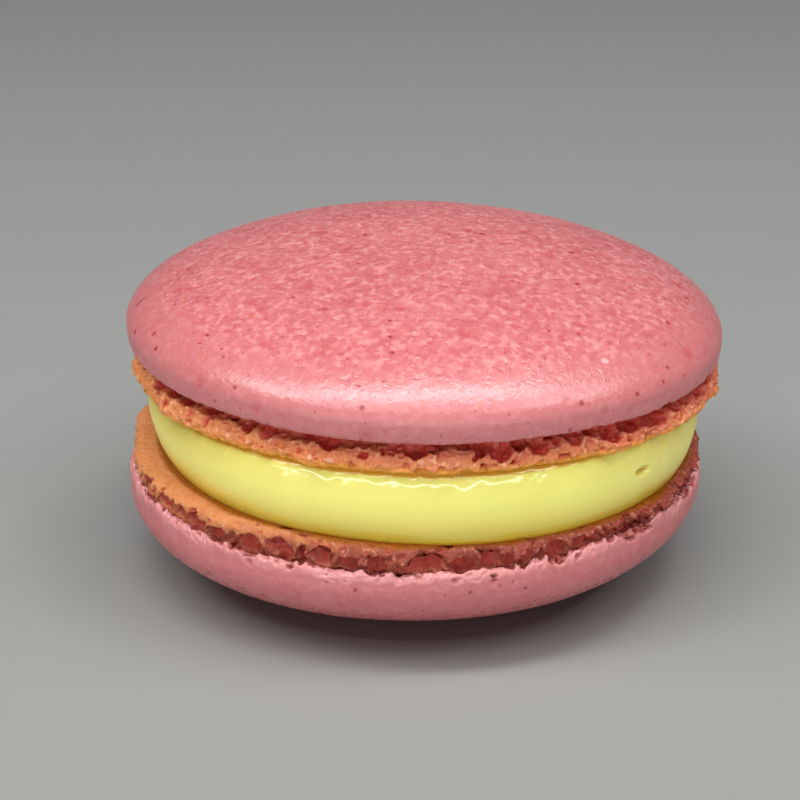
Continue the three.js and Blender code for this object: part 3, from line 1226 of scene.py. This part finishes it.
        # The cave mask grows with depth and with the step under the lip: partly the crumb's colour in the
        # bubbles, partly painted shade in recesses.
        opening = depth + relief - 0.35 * undercut
        cave = smooth(opening, 0.055 * self.deepest, 0.233 * self.deepest)
        from_seat = surface.radius - self.seat - wave_sum(self.seat_outline, surface.angle)
        wicked = self.wicking * smooth(surface.height, 0.95, 0.15)
        painted = {
            # Browned by the base and on the left; its fall towards the lip is partly painted shade under the
            # lip.
            "toast_and_shade": self.toasting - (0.75 - self.spreading * calm) * rise + self.toasting_left * calm**1.5,
            "cave": cave * (1 - 0.5 * on_base),
            # Where the crumb stands out, for the painted glints.
            "crest": smooth(depth + relief, 0.12, 0.0),
            # A ring by where the filling sits, partly painted shade in the joint, and the filling's amber
            # wicked into the rim.
            "stain_and_shade": np.maximum(smooth(from_seat, 1.1, 0.3) * on_base, wicked),
        }
        return self._dressed("foot", surface, points, painted, self.foot_finish.material())

    def _dressed(
        self,
        name: str,
        surface: Turned,
        points: np.ndarray,
        painted: dict[str, np.ndarray],
        finish: bpy.types.Material,
    ) -> bpy.types.Object:
        """Makes a piece of the shell in its place, with its body and node.

        Args:
            name: what it is called beside the shell's side.
            surface: the turned surface that it comes from.
            points: where the surface's points have gone in the shell's own frame.
            painted: the numbers that it stores, by name.
            finish: its material.

        Returns:
            The piece.
        """
        piece = make_piece(f"{self.side.value}_{name}", surface, self.placed(points), painted, finish)
        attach(piece, BODY)
        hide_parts(self.node)
        return piece

    def build(self) -> list[bpy.types.Object]:
        """Builds the shell's two pieces."""
        return [self.skin(), self.foot()]


# ---------------------------------------------------------------- the filling


@dataclass
class Filling:
    """The soft filling: a disc that swells at its side between the two flat bases."""

    lower: Shell
    upper: Shell
    finish: FillingFinish
    node: str = "filling"
    # Its side: radius, and height as a share of the thickness, from the lower shell to the upper one.
    side: tuple[tuple[float, float], ...] = (
        (21.95, 0.0),
        (22.5, 0.2),
        (22.9, 0.5),
        (22.92, 0.75),
        (22.74, 0.92),
        (22.3, 1.0),
    )
    shift_x: float = 0.1
    outline: tuple[Wave, ...] = (
        Wave(1, 0.4, math.pi / 2),
        Wave(2, 0.16, 3.3),
        Wave(3, 0.1, 1.9),
        Wave(7, 0.04, 3.3),
    )
    footprint: tuple[Wave, ...] = (Wave(2, 0.25, math.pi),)  # added where it spreads on the lower shell
    sunk: float = 0.06  # how far it reaches into each base
    glossy_toward: float = -84.0  # degrees; further round, its top is matt and has painted shade under the crust
    pocket: Bubble = Bubble(math.radians(-44.6), 23.15, 3.3, (0.75, 0.9, 0.36), math.radians(-4))
    columns: int = 960  # points round the fullest ring of its mesh
    seed: int = 7

    def _base(self, shell: Shell, x: np.ndarray) -> np.ndarray:
        """The height of a shell's flat base at x."""
        return shell.base_height - math.tan(math.radians(shell.base_lean)) * (x - shell.shift_x)

    def build(self) -> list[bpy.types.Object]:
        """Builds and dresses the filling.

        Returns:
            Its one piece.
        """
        noise = Noise(self.seed)
        thickness = self.upper.base_height - self.lower.base_height
        inside, widest = self.side[0][0] - 0.6, max(radius for radius, _ in self.side)
        base = flat_rows(0, inside, 0, 10)
        edge = curve_through([(radius, share * thickness) for radius, share in self.side], 0.1)
        closing = flat_rows(inside, 0, thickness, 10)
        surface = Turned(*joined((base, HIDDEN), (edge, 0.16), (closing, HIDDEN)), self.columns)
        share = surface.radius / widest
        level = surface.height / thickness
        spread = wave_sum(self.outline, surface.angle)
        spread = spread + (1 - level) * wave_sum(self.footprint, surface.angle)
        points = surface.points + (share * spread)[:, None] * surface.round
        relief = 0.06 * noise.at(points, 7.0) + 0.02 * noise.at(points, 2.2)
        shoulder = smooth(level, 0.74, 0.92)
        relief += shoulder * (0.1 * noise.at(points, 1.4) + 0.045 * noise.at(points, 0.6))
        depth = -relief * smooth(share, 0.9, 0.97)
        warped = points + 0.06 * noise.vector(points, 0.6)
        self.pocket.carve(warped, -surface.normals, depth)
        points = points - depth[:, None] * surface.normals

        points[:, 0] += self.shift_x
        bottom = self._base(self.lower, points[:, 0]) - self.sunk
        top = self._base(self.upper, points[:, 0]) + self.sunk
        points[:, 2] = bottom + (top - bottom) * points[:, 2] / thickness
        # Painted shade: darker towards the bottom, in the pocket, and under the crust away from the front.
        aside = smooth(np.cos(surface.angle - math.radians(self.glossy_toward)), 1.0, 0.35)
        under_crust = aside * (0.12 + 0.88 * smooth(level, 0.5, 0.95))
        shades = [smooth(level, 0.5, 0.0), smooth(depth + relief, 0.02, 0.2), under_crust]
        painted = {
            # Amber at the top and bottom edges: partly a stain, partly painted shade where the cream meets
            # the crust.
            "stain_and_shade": np.maximum(smooth(level, 0.88, 0.98), smooth(level, 0.09, 0.0)),
            "shade": np.max(shades, axis=0),
            "dull": aside,
        }
        piece = make_piece(self.node + "_cream", surface, points, painted, self.finish.material())
        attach(piece, BODY)
        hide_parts(self.node)
        return [piece]


# ---------------------------------------------------------------- the studio


@dataclass
class Studio:
    """A pale floor, soft lights, and the camera."""

    elevation: float = 22.0  # of the camera, in degrees
    distance: float = 170.0
    target: tuple[float, float, float] = (-1.88, 0.0, 12.85)
    focal_length: float = 91.3  # on a 36 mm wide sensor
    floor_size: float = 6000.0

    def floor(self) -> None:
        """Lays the floor."""
        bpy.ops.mesh.primitive_plane_add(size=self.floor_size * MM)
        plane = bpy.context.object
        plane.name = "floor"
        plane.data.materials.append(FloorFinish().material())

    def light(
        self, name: str, place: tuple[float, float, float], size: tuple[float, float], power: float
    ) -> None:
        """Hangs a soft rectangular light that faces the macaron.

        Args:
            name: the light's name.
            place: where it hangs.
            size: its width and height.
            power: in watts.
        """
        lamp = bpy.data.lights.new(name, "AREA")
        lamp.shape = "RECTANGLE"
        lamp.size, lamp.size_y = size[0] * MM, size[1] * MM
        lamp.energy = power
        holder = bpy.data.objects.new(name, lamp)
        bpy.context.collection.objects.link(holder)
        holder.location = Vector(place) * MM
        toward = Vector(self.target) * MM - holder.location
        holder.rotation_euler = toward.to_track_quat("-Z", "Y").to_euler()

    def camera(self) -> None:
        """Sets up the camera."""
        lens = bpy.data.cameras.new("camera")
        lens.lens = self.focal_length
        lens.clip_start = 10 * MM
        holder = bpy.data.objects.new("camera", lens)
        bpy.context.collection.objects.link(holder)
        rise = math.radians(self.elevation)
        back = Vector((0, -math.cos(rise), math.sin(rise)))
        holder.location = (Vector(self.target) + back * self.distance) * MM
        holder.rotation_euler = (-back).to_track_quat("-Z", "Y").to_euler()
        bpy.context.scene.camera = holder

    def build(self) -> None:
        """Builds the studio."""
        self.camera()
        self.floor()
        for name, place, size, power in (
            ("overhead", (10, -58, 515), (540, 110), 2.12),
            ("front", (20, -240, 445), (900, 160), 1.05),
            ("left", (-330, -90, 400), (200, 160), 0.7),
            ("right", (340, -60, 400), (200, 160), 0.32),
            ("low", (-80, -900, 52), (2100, 94), 5.3),
            ("strip", (-60, -335, 335), (280, 12), 0.19),
            ("strip", (270, -235, 335), (280, 12), 0.19),
        ):
            self.light(name, place, size, power)
        world = bpy.data.worlds.new("soft_room")
        world.use_nodes = True
        background = world.node_tree.nodes["Background"]
        background.inputs["Color"].default_value = (1.0, 1.0, 1.0, 1.0)
        background.inputs["Strength"].default_value = 0.1
        bpy.context.scene.world = world
        bpy.context.scene.view_settings.view_transform = "Standard"


# ---------------------------------------------------------------- the macaron


def upper_shell() -> Shell:
    """Describes the upper shell, dome up.

    Returns:
        The shell.
    """
    bruise = srgb(140, 34, 50)
    speck = srgb(132, 12, 28)
    return Shell(
        side=Side.UPPER,
        node="top_shell",
        base_height=16.4,
        shift_x=0.0,
        skin_radius=24.25,
        widest_height=4.35,
        dome_rise=6.1,
        dome_edge=2.35,
        dome_crown=1.59,
        foot_height=2.75,
        lip_waves=(),
        lip_radius=23.95,
        flange_radius=23.9,
        waist_radius=22.95,
        base_lean=0.5,
        skin_lean=0.6,
        outline=(Wave(2, 0.1, 1.1), Wave(3, 0.08, 0.4), Wave(5, 0.05, 2.6)),
        foot_outline=(Wave(1, 0.22, 0), Wave(2, 0.16, 0)),
        swell=0.3,
        swell_toward=60,
        seed=41,
        torn=0.12,
        skin_finish=SkinFinish("upper_skin", srgb(210, 124, 126), srgb(189, 92, 97), srgb(197, 112, 114)),
        foot_finish=FootFinish("upper_foot"),
        marks=(
            Mark(188.5, 22.9, 6.0, (0.55, 0.22), bruise),
            Mark(189.3, 23.25, 5.7, (0.25, 0.18), bruise, 0.6),
            Mark(219.6, 21.5, 6.92, (0.14, 0.3), bruise),
            Mark(219.9, 22.28, 6.46, (0.12, 0.14), speck),
            Mark(226.0, 21.94, 6.67, (0.13, 0.15), speck),
            Mark(227.9, 22.44, 6.35, (0.12, 0.12), speck),
            Mark(223.0, 22.93, 6.0, (0.2, 0.16), srgb(205, 112, 62), 0.7),
            Mark(249.0, 13.35, 9.58, (0.7, 0.55), srgb(196, 78, 88), 0.5),
            Mark(307.6, 21.68, 6.83, (0.3, 0.35), srgb(252, 190, 188), 0.6),
        ),
    )


def lower_shell() -> Shell:
    """Describes the lower shell, dome down.

    Returns:
        The shell.
    """
    speck = srgb(112, 12, 24)
    return Shell(
        side=Side.LOWER,
        node="bottom_shell",
        base_height=10.5,
        shift_x=-0.55,
        skin_radius=23.95,
        widest_height=3.3,
        dome_rise=7.4,
        dome_edge=2.65,
        dome_crown=1.96,
        foot_height=1.95,
        lip_waves=(Wave(1, 0.25, 1.0), Wave(3, 0.4, 1.1)),
        lip_radius=23.75,
        flange_radius=23.6,
        waist_radius=23.2,
        base_lean=0.9,
        skin_lean=1.4,
        outline=(Wave(2, 0.08, 2.3), Wave(3, 0.09, 4.4), Wave(5, 0.05, 0.9)),
        foot_outline=(Wave(2, 0.1, 0.2),),
        swell=0.2,
        swell_toward=-150,
        seed=97,
        torn=0.5,
        calming=0.8,
        undercut=-0.18,
        wicking=0.0,
        seat=21.95,
        seat_outline=(
            Wave(1, 0.65, 0),
            Wave(1, 0.4, -math.pi / 2),
            Wave(2, 0.16, -3.3),
            Wave(2, 0.25, math.pi),
        ),
        deepest=0.9,
        closing=0.5,
        crumbling=0.3,
        spreading=0.45,
        toasting=0.12,
        toasting_left=0.95,
        lip_foam=Pits(480, 0.1, 0.34, 1.5, 0.2),
        # A little darker and duskier than the upper skin: painted shade, as the lower shell lies under the
        # filling and the upper shell.
        skin_finish=SkinFinish(
            "lower_skin",
            srgb(203, 114, 116),
            srgb(182, 86, 92),
            srgb(198, 110, 112),
            crumb=srgb(190, 96, 88),
        ),
        # Its crumb is darker than the upper foot's, and its stain is a dark brown line by the filling:
        # painted shade, the line partly also a stain.
        foot_finish=FootFinish(
            "lower_foot",
            srgb(152, 74, 58),
            srgb(212, 138, 84),
            cave=srgb(178, 72, 60),
            stain_and_shade=srgb(150, 82, 0),
            painted_glint=srgb(222, 150, 124),
            sheen=0.25,
        ),
        marks=(
            Mark(75.1, 23.91, 3.14, (0.12, 0.2), speck, 0.6),
            Mark(72.75, 23.91, 3.04, (0.1, 0.1), speck),
            Mark(70.25, 23.87, 3.83, (0.13, 0.16), speck),
        ),
        nicks=(
            Bubble(math.radians(76.25), 23.7, 2.25, (0.3, 0.28, 0.16)),
            Bubble(math.radians(76.1), 23.9, 2.6, (0.28, 0.2, 0.16)),
            Bubble(math.radians(57.0), 23.6, 2.1, (0.4, 0.35, 0.3)),
            Bubble(math.radians(122.5), 23.6, 2.1, (0.4, 0.3, 0.25)),
        ),
    )


def main() -> None:
    """Builds the macaron and its studio."""
    logging.basicConfig(level=logging.INFO, format="%(name)s: %(message)s")
    Studio().build()
    lower = lower_shell()
    upper = upper_shell()
    for part in (lower, Filling(lower, upper, FillingFinish("lemon_cream")), upper):
        for piece in part.build():
            log.info("%s: %d faces", piece.name, len(piece.data.polygons))


if __name__ == "__main__":
    main()
